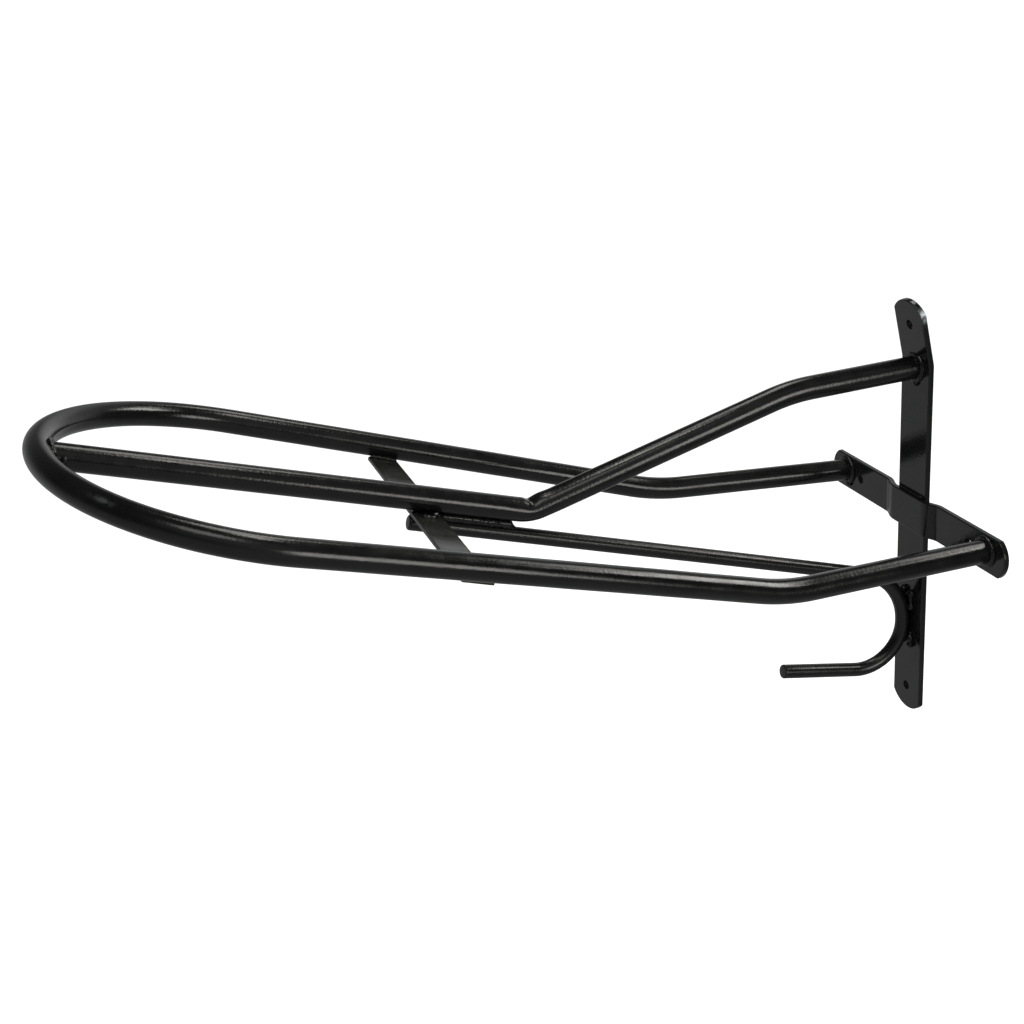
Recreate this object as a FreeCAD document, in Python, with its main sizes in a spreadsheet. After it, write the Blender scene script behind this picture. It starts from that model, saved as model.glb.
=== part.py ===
import FreeCAD, Part
import math
import os

import Sketcher

# Wall rack for a saddle, with a bridle hook: bent tube, round bar and flat bar, all welded.
# Millimetres. The wall is the plane Y = 0, the rack stands out of it towards -Y, +Z is up,
# and X = 0 is its plane of symmetry. The origin is on the wall, midway between the two
# screw holes of the vertical strap.

Vector = FreeCAD.Vector

SIZES = {
    # Stock.
    "tube_diameter": 16.0,
    "tube_wall": 1.5,
    "rod_diameter": 10.0,
    "strap_thickness": 4.0,
    "screw_hole_diameter": 6.6,
    # Vertical strap. Its top stretch leans out from the wall above the centre rail.
    "wall_strap_width": 32.0,
    "wall_strap_end_radius": 20.0,
    "wall_strap_bottom": -156.0,
    "wall_strap_bend_height": 111.5,
    "wall_strap_tab_length": 45.0,
    "wall_strap_tab_lean": 11.5,
    "wall_hole_spacing": 276.0,
    # Cross strap. Its wings lie on the wall and its middle steps over the vertical strap.
    "cross_strap_height": 3.0,
    "cross_strap_width": 26.0,
    "cross_strap_half_length": 103.0,
    "cross_strap_end_radius": 16.0,
    "cross_step_half": 20.5,
    "cross_step_foot": 26.0,
    "cross_hole_spacing": 130.0,
    # Seat loop. Each leg is nearly level at the wall, then bends up into the sloping seat
    # plane. Distances named "run" are measured in that plane, from the bend.
    "leg_wall_half": 83.3,
    "leg_wall_height": 4.6,
    "leg_bend_half": 95.5,
    "leg_bend_height": 15.4,
    "leg_bend_reach": 155.5,
    "leg_bend_radius": 148.0,
    "leg_taper": 4.0,
    "seat_angle": 19.25,
    "nose_centre_run": 318.4,
    # Centre rail.
    "rail_wall_height": 107.2,
    "rail_rear_bend_reach": 98.4,
    "rail_rear_bend_radius": 130.0,
    "rail_sag_reach": 284.3,
    "rail_sag_height": 62.1,
    "rail_sag_radius": 25.0,
    "rail_nose_drop": 3.4,
    # Flat bar under the three tubes.
    "bar_width": 20.0,
    "bar_thickness": 2.5,
    "bar_half_length": 108.0,
    "bar_run": 205.0,
    # Round bar under the centre rail, turned down at the strap and out again as the hook.
    "rod_front_reach": 363.5,
    "rod_clearance": 0.1,
    "rod_corner_height": -49.6,
    "rod_corner_radius": 46.0,
    "hook_corner_height": -122.75,
    "hook_radius": 31.5,
    "hook_angle": 13.0,
    "hook_reach": 106.0,
    # Weld beads.
    "ring_weld_leg": 3.0,
    "nose_weld_leg": 2.0,
    "edge_weld_leg": 2.5,
    "edge_weld_length": 24.0,
    "seam_weld_inner": 2.0,
    "seam_weld_outer": 6.5,
    "seam_weld_height": 2.5,
    "seam_weld_length": 17.0,
    "rod_weld_width": 8.0,
    "rod_weld_length": 14.0,
    "rod_weld_depth": 8.0,
    "rod_upper_weld_height": -66.0,
    "rod_lower_weld_height": -98.0,
    "rod_rail_weld_reach": 314.5,
    "rod_rail_weld_length": 44.0,
}

doc = FreeCAD.newDocument("saddle_rack")
sheet = doc.addObject("Spreadsheet::Sheet", "Sizes")
for row, (alias, value) in enumerate(SIZES.items(), start=1):
    sheet.set(f"A{row}", alias)
    sheet.set(f"B{row}", str(value))
    sheet.setAlias(f"B{row}", alias)
doc.recompute()


def size(alias):
    return float(sheet.get(alias))


def radians(alias):
    return math.radians(size(alias))


# ---------------------------------------------------------------- sketches and bodies


def new_body(name):
    body = doc.addObject("PartDesign::Body", name)
    body.Label = name
    return body


def new_sketch(body, name, role):
    sketch = body.newObject("Sketcher::SketchObject", name)
    plane = next(item for item in body.Origin.OriginFeatures if item.Role == role)
    sketch.AttachmentSupport = [(plane, "")]
    sketch.MapMode = "FlatFace"
    return sketch


def drive(sketch, kind, target, expression):
    """Add one dimension to a sketch and bind it to an expression on the sheet."""
    value = sketch.evalExpression(expression)
    index = sketch.addConstraint(Sketcher.Constraint(kind, *target, value))
    sketch.setExpression(f"Constraints[{index}]", expression)


def place_point(sketch, geometry, point, across, up):
    drive(sketch, "DistanceX", (-1, 1, geometry, point), across)
    drive(sketch, "DistanceY", (-1, 1, geometry, point), up)


def draw_polygon(sketch, corners):
    """Draw a closed outline whose corners are pairs of expressions."""
    points = [Vector(*[sketch.evalExpression(item) for item in corner]) for corner in corners]
    lines = [
        sketch.addGeometry(Part.LineSegment(point, points[(i + 1) % len(points)]))
        for i, point in enumerate(points)
    ]
    for i, line in enumerate(lines):
        following = lines[(i + 1) % len(lines)]
        sketch.addConstraint(Sketcher.Constraint("Coincident", line, 2, following, 1))
        place_point(sketch, line, 1, *corners[i])


def draw_circle(sketch, across, up, radius):
    values = [sketch.evalExpression(item) for item in (across, up, radius)]
    centre = Vector(values[0], values[1], 0)
    circle = sketch.addGeometry(Part.Circle(centre, Vector(0, 0, 1), values[2]))
    place_point(sketch, circle, 3, across, up)
    drive(sketch, "Radius", (circle,), radius)


def draw_strap_plan(sketch, upright, sides, ends, end_radius):
    """Draw a strap seen square on: two straight sides joined by two shallow arcs.

    sides are the places of its long edges and ends those of its two tips, low one first.
    """
    low_side, high_side = [sketch.evalExpression(item) for item in sides]
    radius = sketch.evalExpression(end_radius)
    middle = (low_side + high_side) / 2
    half_angle = math.asin((high_side - low_side) / 2 / radius)

    def point(across, along):
        return Vector(across, along, 0) if upright else Vector(along, across, 0)

    arcs = []
    for tip_expression, sign in zip(ends, (-1, 1)):
        tip = sketch.evalExpression(tip_expression)
        centre = tip - sign * radius
        shoulder = centre + sign * radius * math.cos(half_angle)
        arc = Part.Arc(point(low_side, shoulder), point(middle, tip), point(high_side, shoulder))
        index = sketch.addGeometry(arc)
        swapped = sketch.getPoint(index, 1).distanceToPoint(point(low_side, shoulder)) > radius / 2
        arcs.append((index, swapped, shoulder))
        centre_expression = f"{tip_expression} - ({sign}) * {end_radius}"
        middle_expression = f"({sides[0]} + {sides[1]}) / 2"
        pair = (middle_expression, centre_expression)
        place_point(sketch, index, 3, *(pair if upright else pair[::-1]))
        drive(sketch, "Radius", (index,), end_radius)

    straight = "Vertical" if upright else "Horizontal"
    distance = "DistanceX" if upright else "DistanceY"
    for side, place in enumerate((low_side, high_side)):
        line = sketch.addGeometry(
            Part.LineSegment(point(place, arcs[0][2]), point(place, arcs[1][2]))
        )
        sketch.addConstraint(Sketcher.Constraint(straight, line))
        drive(sketch, distance, (-1, 1, line, 1), sides[side])
        for line_end, (arc, swapped, _) in zip((1, 2), arcs):
            arc_end = 1 if (side == 0) != swapped else 2
            sketch.addConstraint(Sketcher.Constraint("Coincident", line, line_end, arc, arc_end))


def pad(body, sketch, name, length):
    feature = body.newObject("PartDesign::Pad", name)
    feature.Profile = sketch
    feature.SideType = "Symmetric"
    feature.setExpression("Length", length)
    return feature


# ------------------------------------------------------------------ Part objects


def combine(kind, name, base, tool):
    result = doc.addObject(kind, name)
    result.Label = name
    result.Base = base
    result.Tool = tool
    return result


def cut(name, base, *tools):
    """Cut tools from base one after another; the last result carries the name."""
    for number, tool in enumerate(tools, start=1):
        last = number == len(tools)
        base = combine("Part::Cut", name if last else f"{name}_step_{number}", base, tool)
    return base


def new_box(name, length, width, height, placement):
    """A box whose length runs along its own X, centred on the placement in X and Y."""
    box = doc.addObject("Part::Box", name)
    for side, expression in (("Length", length), ("Width", width), ("Height", height)):
        box.setExpression(side, expression)
    doc.recompute()
    centring = Vector(-box.Length.Value / 2, -box.Width.Value / 2, 0)
    box.Placement = placement.multiply(FreeCAD.Placement(centring, FreeCAD.Rotation()))
    return box


def aim(position, along, up):
    """A placement whose X axis lies along one direction and whose Z axis is nearest another."""
    rotation = FreeCAD.Rotation(along, along.cross(up) * -1, up, "XZY")
    return FreeCAD.Placement(position, rotation)


def bent_path(points, radii):
    """Edges of a line through points, with a tangent arc of the given radius at each corner."""
    edges = []
    start = points[0]
    for before, corner, after, radius in zip(points, points[1:], points[2:], radii):
        back = (before - corner).normalize()
        ahead = (after - corner).normalize()
        half_turn = (math.pi - back.getAngle(ahead)) / 2
        reach = radius * math.tan(half_turn)
        inward = (back + ahead).normalize()
        middle = corner + inward * (radius / math.cos(half_turn) - radius)
        enter, leave = corner + back * reach, corner + ahead * reach
        edges.append(Part.LineSegment(start, enter).toShape())
        edges.append(Part.Arc(enter, middle, leave).toShape())
        start = leave
    edges.append(Part.LineSegment(start, points[-1]).toShape())
    return edges


def add_path(name, edges):
    path = doc.addObject("Part::Feature", name)
    path.Shape = Part.Wire(edges)
    return path


def sweep_round(name, path, radius):
    """Sweep a circle of the given radius along a path, as a solid bar."""
    first = path.Shape.OrderedEdges[0]
    start = first.valueAt(first.FirstParameter)
    direction = first.tangentAt(first.FirstParameter)
    circle = doc.addObject("Part::Circle", f"{name}_section")
    circle.setExpression("Radius", radius)
    circle.Placement = FreeCAD.Placement(start, FreeCAD.Rotation(Vector(0, 0, 1), direction))
    sweep = doc.addObject("Part::Sweep", name)
    sweep.Sections = [circle]
    sweep.Spine = (path, [f"Edge{i + 1}" for i in range(len(path.Shape.Edges))])
    sweep.Solid = True
    sweep.Frenet = False
    return sweep


# ------------------------------------------------------------------ wall straps


def make_strap(name, role, profile, depth, plan):
    """Common of a bent flat bar seen from its edge and its outline seen square on."""
    bent = new_body(f"{name}_bend")
    bend_sketch = new_sketch(bent, f"{name}_bend_sketch", role)
    draw_polygon(bend_sketch, profile)
    pad(bent, bend_sketch, f"{name}_bend_pad", depth)

    outline = new_body(f"{name}_plan")
    plan_sketch = new_sketch(outline, f"{name}_plan_sketch", "XZ_Plane")
    plan(plan_sketch)
    pad(outline, plan_sketch, f"{name}_plan_pad", "10 * Sizes.strap_thickness")
    return combine("Part::Common", name, bent, outline)


def wall_strap_profile():
    """Side view: straight up the wall, then leaning out above the bend."""
    thick = "Sizes.strap_thickness"
    lean = "Sizes.wall_strap_tab_lean * 1 deg"
    bend = "Sizes.wall_strap_bend_height"
    tab = "Sizes.wall_strap_tab_length"
    mitre = f"{thick} * tan({lean} / 2)"
    out, rise = f"{tab} * sin({lean})", f"{tab} * cos({lean})"
    return [
        ("0", "Sizes.wall_strap_bottom"),
        ("0", bend),
        (f"-{out}", f"{bend} + {rise}"),
        (f"-{out} - {thick} * cos({lean})", f"{bend} + {rise} - {thick} * sin({lean})"),
        (f"-{thick}", f"{bend} - {mitre}"),
        (f"-{thick}", "Sizes.wall_strap_bottom"),
    ]


def wall_strap_plan(sketch):
    half = "Sizes.wall_strap_width / 2"
    tip = (
        "Sizes.wall_strap_bend_height"
        " + Sizes.wall_strap_tab_length * cos(Sizes.wall_strap_tab_lean * 1 deg)"
    )
    ends = ("Sizes.wall_strap_bottom", tip)
    draw_strap_plan(sketch, True, (f"-{half}", half), ends, "Sizes.wall_strap_end_radius")
    for sign in ("-", ""):
        height = f"{sign}Sizes.wall_hole_spacing / 2"
        draw_circle(sketch, "0", height, "Sizes.screw_hole_diameter / 2")


def cross_strap_profile():
    """Top view: flat on the wall at both ends, stepped forward in the middle."""
    half, thick = "Sizes.cross_strap_half_length", "Sizes.strap_thickness"
    top, foot = "Sizes.cross_step_half", "Sizes.cross_step_foot"
    slope = f"atan({thick} / ({foot} - {top}))"
    shift = f"{thick} * tan({slope} / 2)"
    right_front = [(half, f"-{thick}"), (foot, f"-{thick}"), (top, f"-2 * {thick}")]
    right_back = [(f"{top} - {shift}", f"-{thick}"), (f"{foot} - {shift}", "0"), (half, "0")]
    left_front = [(f"-({across})", depth) for across, depth in reversed(right_front)]
    left_back = [(f"-({across})", depth) for across, depth in reversed(right_back)]
    return right_front + left_front + left_back + right_back


def cross_strap_plan(sketch):
    level, width = "Sizes.cross_strap_height", "Sizes.cross_strap_width"
    half = "Sizes.cross_strap_half_length"
    sides = (f"({level} - {width} / 2)", f"({level} + {width} / 2)")
    radius = "Sizes.cross_strap_end_radius"
    draw_strap_plan(sketch, False, sides, (f"-{half}", half), radius)
    for sign in ("-", ""):
        across = f"{sign}Sizes.cross_hole_spacing / 2"
        draw_circle(sketch, across, level, "Sizes.screw_hole_diameter / 2")


wall_strap = make_strap(
    "wall_strap", "YZ_Plane", wall_strap_profile(), "Sizes.wall_strap_width", wall_strap_plan
)
cross_strap = make_strap(
    "cross_strap",
    "XY_Plane",
    cross_strap_profile(),
    "2 * (Sizes.cross_strap_height + Sizes.cross_strap_width)",
    cross_strap_plan,
)

# Everything behind the front face of the straps, for trimming what meets them at an angle.
CUTTER_SIDE = "3 * Sizes.cross_strap_half_length"
strap_front = new_box(
    "strap_front",
    CUTTER_SIDE,
    CUTTER_SIDE,
    "8 * Sizes.strap_thickness",
    aim(Vector(0, -size("strap_thickness"), 0), Vector(1, 0, 0), Vector(0, 1, 0)),
)

# ------------------------------------------------------------------ seat plane

SEAT_ANGLE = radians("seat_angle")
SEAT_RISE = Vector(0, -math.cos(SEAT_ANGLE), math.sin(SEAT_ANGLE))
SEAT_NORMAL = Vector(0, math.sin(SEAT_ANGLE), math.cos(SEAT_ANGLE))
SEAT_HINGE = Vector(0, -size("leg_bend_reach"), size("leg_bend_height"))
TUBE_RADIUS = size("tube_diameter") / 2
ROD_RADIUS = size("rod_diameter") / 2
TUBE_RADIUS_CELL = "Sizes.tube_diameter / 2"
BORE_RADIUS_CELL = "Sizes.tube_diameter / 2 - Sizes.tube_wall"
ROD_RADIUS_CELL = "Sizes.rod_diameter / 2"
BEHIND_STRAP = 8.0


def on_seat(across, run, above=0.0):
    """A point of the seat plane, or above it along its normal."""
    return SEAT_HINGE + Vector(across, 0, 0) + SEAT_RISE * run + SEAT_NORMAL * above


def seat_height(reach):
    """Height of the seat plane at a distance from the wall."""
    return size("leg_bend_height") + (reach - size("leg_bend_reach")) * math.tan(SEAT_ANGLE)


def mirror_x(point):
    return Vector(-point.x, point.y, point.z)


# ------------------------------------------------------------------ seat loop

TAPER = radians("leg_taper")
NOSE_RUN = size("nose_centre_run")
LEG_HALF = size("leg_bend_half")
NOSE_RADIUS = (LEG_HALF + NOSE_RUN * math.tan(TAPER)) * math.cos(TAPER)
leg_foot = Vector(
    size("leg_wall_half"), -size("strap_thickness"), size("leg_wall_height")
)
leg_bend = on_seat(LEG_HALF, 0)
leg_direction = (leg_foot - leg_bend).normalize()
nose_start = on_seat(NOSE_RADIUS * math.cos(TAPER), NOSE_RUN - NOSE_RADIUS * math.sin(TAPER))
nose_tip = on_seat(0, NOSE_RUN + NOSE_RADIUS)
right_leg = [leg_foot + leg_direction * BEHIND_STRAP, leg_bend, nose_start]
left_leg = [mirror_x(point) for point in reversed(right_leg)]
bend_radius = [size("leg_bend_radius")]
loop_edges = bent_path(right_leg, bend_radius)
loop_edges.append(Part.Arc(nose_start, nose_tip, mirror_x(nose_start)).toShape())
loop_edges += bent_path(left_leg, bend_radius)
loop_path = add_path("seat_loop_path", loop_edges)
loop_envelope = sweep_round("seat_loop_envelope", loop_path, TUBE_RADIUS_CELL)
loop_bore = sweep_round("seat_loop_bore", loop_path, BORE_RADIUS_CELL)
seat_loop = cut("seat_loop", loop_envelope, loop_bore, strap_front)

# ------------------------------------------------------------------ centre rail

rail_nose = Vector(0, nose_tip.y, nose_tip.z - size("rail_nose_drop"))
rail_sag = Vector(0, -size("rail_sag_reach"), size("rail_sag_height"))
rail_rear = Vector(0, -size("rail_rear_bend_reach"), size("rail_wall_height"))
rail_foot = Vector(0, -size("strap_thickness"), size("rail_wall_height"))
rail_points = [rail_foot, rail_rear, rail_sag, rail_nose]
rail_radii = [size("rail_rear_bend_radius"), size("rail_sag_radius")]
rail_path = add_path("centre_rail_path", bent_path(rail_points, rail_radii))
rail_envelope = sweep_round("centre_rail_envelope", rail_path, TUBE_RADIUS_CELL)
rail_bore = sweep_round("centre_rail_bore", rail_path, BORE_RADIUS_CELL)
centre_rail = cut("centre_rail", rail_envelope, rail_bore, loop_envelope, wall_strap)
rail_rise = (rail_nose - rail_sag).normalize()
rail_down = rail_rise.cross(Vector(1, 0, 0))
if rail_down.z > 0:
    rail_down = rail_down * -1

# ------------------------------------------------------------------ bar under the tubes

bar_top = on_seat(0, size("bar_run"), -TUBE_RADIUS)
under_bar = new_box(
    "under_bar",
    "2 * Sizes.bar_half_length",
    "Sizes.bar_width",
    "Sizes.bar_thickness",
    aim(bar_top - SEAT_NORMAL * size("bar_thickness"), Vector(1, 0, 0), SEAT_NORMAL),
)
under_bar.Label = "under_bar"

# ------------------------------------------------------------------ hook rod

rod_depth = TUBE_RADIUS + size("bar_thickness") + size("rod_clearance") + ROD_RADIUS
under_crossing = on_seat(0, size("bar_run"), -rod_depth)
strap_line = -size("strap_thickness") - ROD_RADIUS
rod_corner = Vector(0, strap_line, size("rod_corner_height"))
rod_rise = (under_crossing - rod_corner).normalize()
rod_front = rod_corner + rod_rise * ((size("rod_front_reach") + strap_line) / -rod_rise.y)
hook_corner = Vector(0, strap_line, size("hook_corner_height"))
HOOK_ANGLE = radians("hook_angle")
hook_rise = Vector(0, -math.cos(HOOK_ANGLE), math.sin(HOOK_ANGLE))
hook_tip = hook_corner + hook_rise * ((size("hook_reach") + strap_line) / -hook_rise.y)
rod_points = [rod_front, rod_corner, hook_corner, hook_tip]
rod_radii = [size("rod_corner_radius"), size("hook_radius")]
rod_path = add_path("hook_rod_path", bent_path(rod_points, rod_radii))
hook_rod = sweep_round("hook_rod", rod_path, ROD_RADIUS_CELL)
hook_rod.Label = "hook_rod"

# ------------------------------------------------------------------ ring welds


def ring_weld(name, foot, outward, leg, root, tools):
    """A fillet ring round a tube: a cone from beyond its foot, less everything it meets.

    outward points from the foot along the tube, and root is how far the cone starts behind it.
    """
    cone = doc.addObject("Part::Cone", f"{name}_cone")
    cone.setExpression("Radius1", f"{TUBE_RADIUS_CELL} + {leg} + {root}")
    cone.setExpression("Radius2", TUBE_RADIUS_CELL)
    cone.setExpression("Height", f"{leg} + {root}")
    start = foot - outward * root
    cone.Placement = FreeCAD.Placement(start, FreeCAD.Rotation(Vector(0, 0, 1), outward))
    return cut(name, cone, *tools)


RING_ROOT = 2.0
ring_leg = "Sizes.ring_weld_leg"
ring_tools = [loop_envelope, strap_front]
leg_outward = leg_direction * -1
welds = [
    ring_weld("right_leg_weld", leg_foot, leg_outward, ring_leg, RING_ROOT, ring_tools),
    ring_weld(
        "left_leg_weld", mirror_x(leg_foot), mirror_x(leg_outward), ring_leg, RING_ROOT, ring_tools
    ),
    ring_weld(
        "centre_rail_wall_weld",
        rail_foot,
        Vector(0, -1, 0),
        ring_leg,
        0,
        [rail_envelope, wall_strap],
    ),
    ring_weld(
        "nose_weld",
        rail_nose - rail_rise * TUBE_RADIUS,
        rail_rise * -1,
        "Sizes.nose_weld_leg",
        0,
        [rail_envelope, loop_envelope],
    ),
]

# ------------------------------------------------------------------ seam welds


def groove_weld(name, bottom, along, up, sides, tools):
    """Short beads in the groove between a round bar and a flat one, on one or both sides.

    bottom is the contact point, along the round bar's direction and up away from the flat bar.
    """
    across = up.cross(along)
    inner, outer = "Sizes.seam_weld_inner", "Sizes.seam_weld_outer"
    middle = (size("seam_weld_inner") + size("seam_weld_outer")) / 2
    beads = []
    for number, side in enumerate(sides, start=1):
        place = aim(bottom + across * (side * middle), along, up)
        box = new_box(
            f"{name}_block_{number}",
            "Sizes.seam_weld_length",
            f"{outer} - {inner}",
            "Sizes.seam_weld_height",
            place,
        )
        beads.append(box)
    if len(beads) == 2:
        beads = [combine("Part::Fuse", f"{name}_pair", *beads)]
    return cut(name, beads[0], *tools)


def block_weld(name, placement, tools, length, height):
    """A filled web between two members, starting at the placement and as deep as height."""
    block = new_box(f"{name}_block", length, "Sizes.rod_weld_width", height, placement)
    return cut(name, block, *tools)


LEG_AT_BAR = LEG_HALF + size("bar_run") * math.tan(TAPER)
right_leg_rise = (nose_start - leg_bend).normalize()
left_leg_rise = mirror_x(right_leg_rise)
right_contact = on_seat(LEG_AT_BAR, size("bar_run"), -TUBE_RADIUS)
rail_at_bar = on_seat(0, size("bar_run"), -TUBE_RADIUS)
rod_contact = on_seat(0, size("bar_run"), -TUBE_RADIUS - size("bar_thickness"))
welds += [
    groove_weld("right_bar_weld", right_contact, right_leg_rise, SEAT_NORMAL, [-1], [loop_envelope]),
    groove_weld(
        "left_bar_weld", mirror_x(right_contact), left_leg_rise, SEAT_NORMAL, [1], [loop_envelope]
    ),
    groove_weld(
        "centre_rail_bar_weld", rail_at_bar, SEAT_RISE, SEAT_NORMAL, [-1, 1], [rail_envelope]
    ),
    groove_weld("rod_bar_weld", rod_contact, SEAT_RISE, SEAT_NORMAL * -1, [-1, 1], [hook_rod]),
]


def point_at_reach(start, direction, reach):
    return start + direction * ((-reach - start.y) / direction.y)


web_start = point_at_reach(rod_corner, rod_rise, size("rod_rail_weld_reach"))
web_height = "Sizes.tube_diameter / 2 + Sizes.rod_diameter / 2 + Sizes.bar_thickness"
welds.append(
    block_weld(
        "rod_rail_weld",
        aim(web_start, rail_rise, rail_down * -1),
        [hook_rod, rail_envelope],
        "Sizes.rod_rail_weld_length",
        web_height,
    )
)
for name, alias in (
    ("rod_upper_weld", "rod_upper_weld_height"),
    ("rod_lower_weld", "rod_lower_weld_height"),
):
    root = Vector(0, -size("strap_thickness"), size(alias))
    placement = aim(root, Vector(0, 0, 1), Vector(0, -1, 0))
    depth = "Sizes.rod_weld_depth"
    welds.append(block_weld(name, placement, [hook_rod], "Sizes.rod_weld_length", depth))

# ------------------------------------------------------------------ welds between the straps


def edge_weld(name, edge, sign):
    """A fillet in the corner between the vertical strap's face and an edge of the cross strap."""
    body = new_body(name)
    sketch = new_sketch(body, f"{name}_sketch", "YZ_Plane")
    face, leg = "-Sizes.strap_thickness", "Sizes.edge_weld_leg"
    corners = [(face, edge), (f"{face} - {leg}", edge), (face, f"{edge} + ({sign}) * {leg}")]
    draw_polygon(sketch, corners)
    pad(body, sketch, f"{name}_pad", "Sizes.edge_weld_length")
    return body


welds += [
    edge_weld("cross_upper_weld", "(Sizes.cross_strap_height + Sizes.cross_strap_width / 2)", 1),
    edge_weld("cross_lower_weld", "(Sizes.cross_strap_height - Sizes.cross_strap_width / 2)", -1),
]

# ------------------------------------------------------------------ check and write

doc.recompute()
for item in doc.Objects:
    if "Invalid" in item.State or "Error" in item.State:
        raise ValueError(f"{item.Name} failed: {item.State}")

pieces = [seat_loop, centre_rail, hook_rod, under_bar, wall_strap, cross_strap, *welds]
os.makedirs("parts", exist_ok=True)
for piece in pieces:
    shape = piece.Shape
    if shape.isNull() or not shape.isValid() or not shape.Solids:
        raise ValueError(f"{piece.Label} has no valid solid")
    print(f"{piece.Label:24} solids {len(shape.Solids)}  volume {shape.Volume:10.1f}")
    shape.exportStep(f"parts/{piece.Label}.step")
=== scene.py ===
import math
import random

import bmesh
import bpy
import numpy as np
from mathutils import Matrix, Vector


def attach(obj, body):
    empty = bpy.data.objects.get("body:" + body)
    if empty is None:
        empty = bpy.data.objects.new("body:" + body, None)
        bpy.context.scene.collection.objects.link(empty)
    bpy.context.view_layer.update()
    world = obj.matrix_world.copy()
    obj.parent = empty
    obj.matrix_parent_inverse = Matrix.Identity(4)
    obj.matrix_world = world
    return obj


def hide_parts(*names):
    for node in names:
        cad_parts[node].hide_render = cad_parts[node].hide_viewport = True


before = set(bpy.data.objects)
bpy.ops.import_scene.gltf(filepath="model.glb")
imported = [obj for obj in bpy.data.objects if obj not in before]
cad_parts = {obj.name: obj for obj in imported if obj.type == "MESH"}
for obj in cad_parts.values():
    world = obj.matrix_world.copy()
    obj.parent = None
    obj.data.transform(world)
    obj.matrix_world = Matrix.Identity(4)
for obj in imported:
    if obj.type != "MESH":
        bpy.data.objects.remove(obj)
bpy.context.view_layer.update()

# Looks for a wall-mounted saddle rack: welded steel tube, round bar and flat bar in gloss
# black paint. Shapes are worked out in millimetres in the frame's own axes: the wall is the
# plane y = 0, the rack stands out of it towards -y, z is up and x = 0 is its plane of symmetry.

scene = bpy.context.scene
random.seed(7)
MM = 0.001
X_AXIS, Y_AXIS, Z_AXIS = np.eye(3)

# ------------------------------------------------------------------ sizes, as in the frame

TUBE_RADIUS = 7.97
ROD_RADIUS = 4.98
STRAP_THICKNESS = 4.0
HOLE_RADIUS = 3.3

LEG_FOOT = np.array([83.3, -STRAP_THICKNESS, 4.6])
LEG_BEND_HALF, LEG_BEND_REACH, LEG_BEND_HEIGHT = 95.5, 155.5, 15.4
LEG_BEND_RADIUS = 148.0
LEG_TAPER = math.radians(4.0)
SEAT_ANGLE = math.radians(19.25)
NOSE_CENTRE_RUN = 318.4

RAIL_HEIGHT = 107.2
RAIL_REAR_REACH, RAIL_REAR_RADIUS = 98.4, 130.0
RAIL_SAG = np.array([0.0, -284.3, 62.1])
RAIL_SAG_RADIUS = 25.0
RAIL_NOSE_DROP = 3.4

BAR_HALF, BAR_WIDTH, BAR_THICKNESS, BAR_RUN = 108.0, 20.0, 2.5, 205.0

ROD_FRONT_REACH = 363.5
ROD_CORNER_HEIGHT, ROD_CORNER_RADIUS = -49.6, 46.0
HOOK_CORNER_HEIGHT, HOOK_RADIUS = -122.75, 31.5
HOOK_ANGLE = math.radians(13.0)
HOOK_REACH = 106.0

WALL_STRAP_WIDTH, WALL_STRAP_END_RADIUS = 32.0, 20.0
WALL_STRAP_BOTTOM, WALL_STRAP_BEND, WALL_STRAP_TAB = -156.0, 111.5, 45.0
WALL_STRAP_LEAN = math.radians(11.5)
WALL_HOLE_HEIGHT = 138.0
CROSS_HEIGHT, CROSS_WIDTH, CROSS_HALF, CROSS_END_RADIUS = 3.0, 26.0, 103.0, 16.0
CROSS_HOLE_HALF = 65.0

# Spacing of the points along the routes, and sides of the round sections.
LOOP_STEP, ROUTE_STEP = 2.0, 1.5
TUBE_SIDES, ROD_SIDES, HOLE_SIDES = 64, 48, 48

# ------------------------------------------------------------------ points and routes


def unit(vector):
    return vector / np.linalg.norm(vector)


def mirror_x(points):
    return np.asarray(points) * np.array([-1.0, 1.0, 1.0])


SEAT_RISE = np.array([0.0, -math.cos(SEAT_ANGLE), math.sin(SEAT_ANGLE)])
SEAT_NORMAL = np.array([0.0, math.sin(SEAT_ANGLE), math.cos(SEAT_ANGLE)])
SEAT_HINGE = np.array([0.0, -LEG_BEND_REACH, LEG_BEND_HEIGHT])


def on_seat(across, run, above=0.0):
    """A point of the sloping seat plane, measured from its hinge line near the wall."""
    return SEAT_HINGE + X_AXIS * across + SEAT_RISE * run + SEAT_NORMAL * above


def arc_points(centre, start, end, step):
    """Points of the shorter arc from start to end round centre, without its start."""
    spoke = start - centre
    radius = np.linalg.norm(spoke)
    first = spoke / radius
    last = unit(end - centre)
    turn = math.acos(float(np.clip(first @ last, -1, 1)))
    second = unit(last - first * (first @ last))
    count = max(3, math.ceil(turn * radius / step))
    angles = np.linspace(0, turn, count + 1)[1:, None]
    return list(centre + radius * (np.cos(angles) * first + np.sin(angles) * second))


def line_points(start, end, step):
    """Points of a straight run, without its start."""
    count = max(1, math.ceil(np.linalg.norm(end - start) / step))
    return [start + (end - start) * (i + 1) / count for i in range(count)]


def bent_route(points, radii, step):
    """Closely spaced points along straight runs that are joined by tangent arcs."""
    route = [points[0]]
    for before, corner, after, radius in zip(points, points[1:], points[2:], radii):
        back, ahead = unit(before - corner), unit(after - corner)
        half_turn = (math.pi - math.acos(float(back @ ahead))) / 2
        reach = radius * math.tan(half_turn)
        centre = corner + unit(back + ahead) * radius / math.cos(half_turn)
        route += line_points(route[-1], corner + back * reach, step)
        route += arc_points(centre, corner + back * reach, corner + ahead * reach, step / 2)
    route += line_points(route[-1], points[-1], step)
    return np.array(route)


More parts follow.
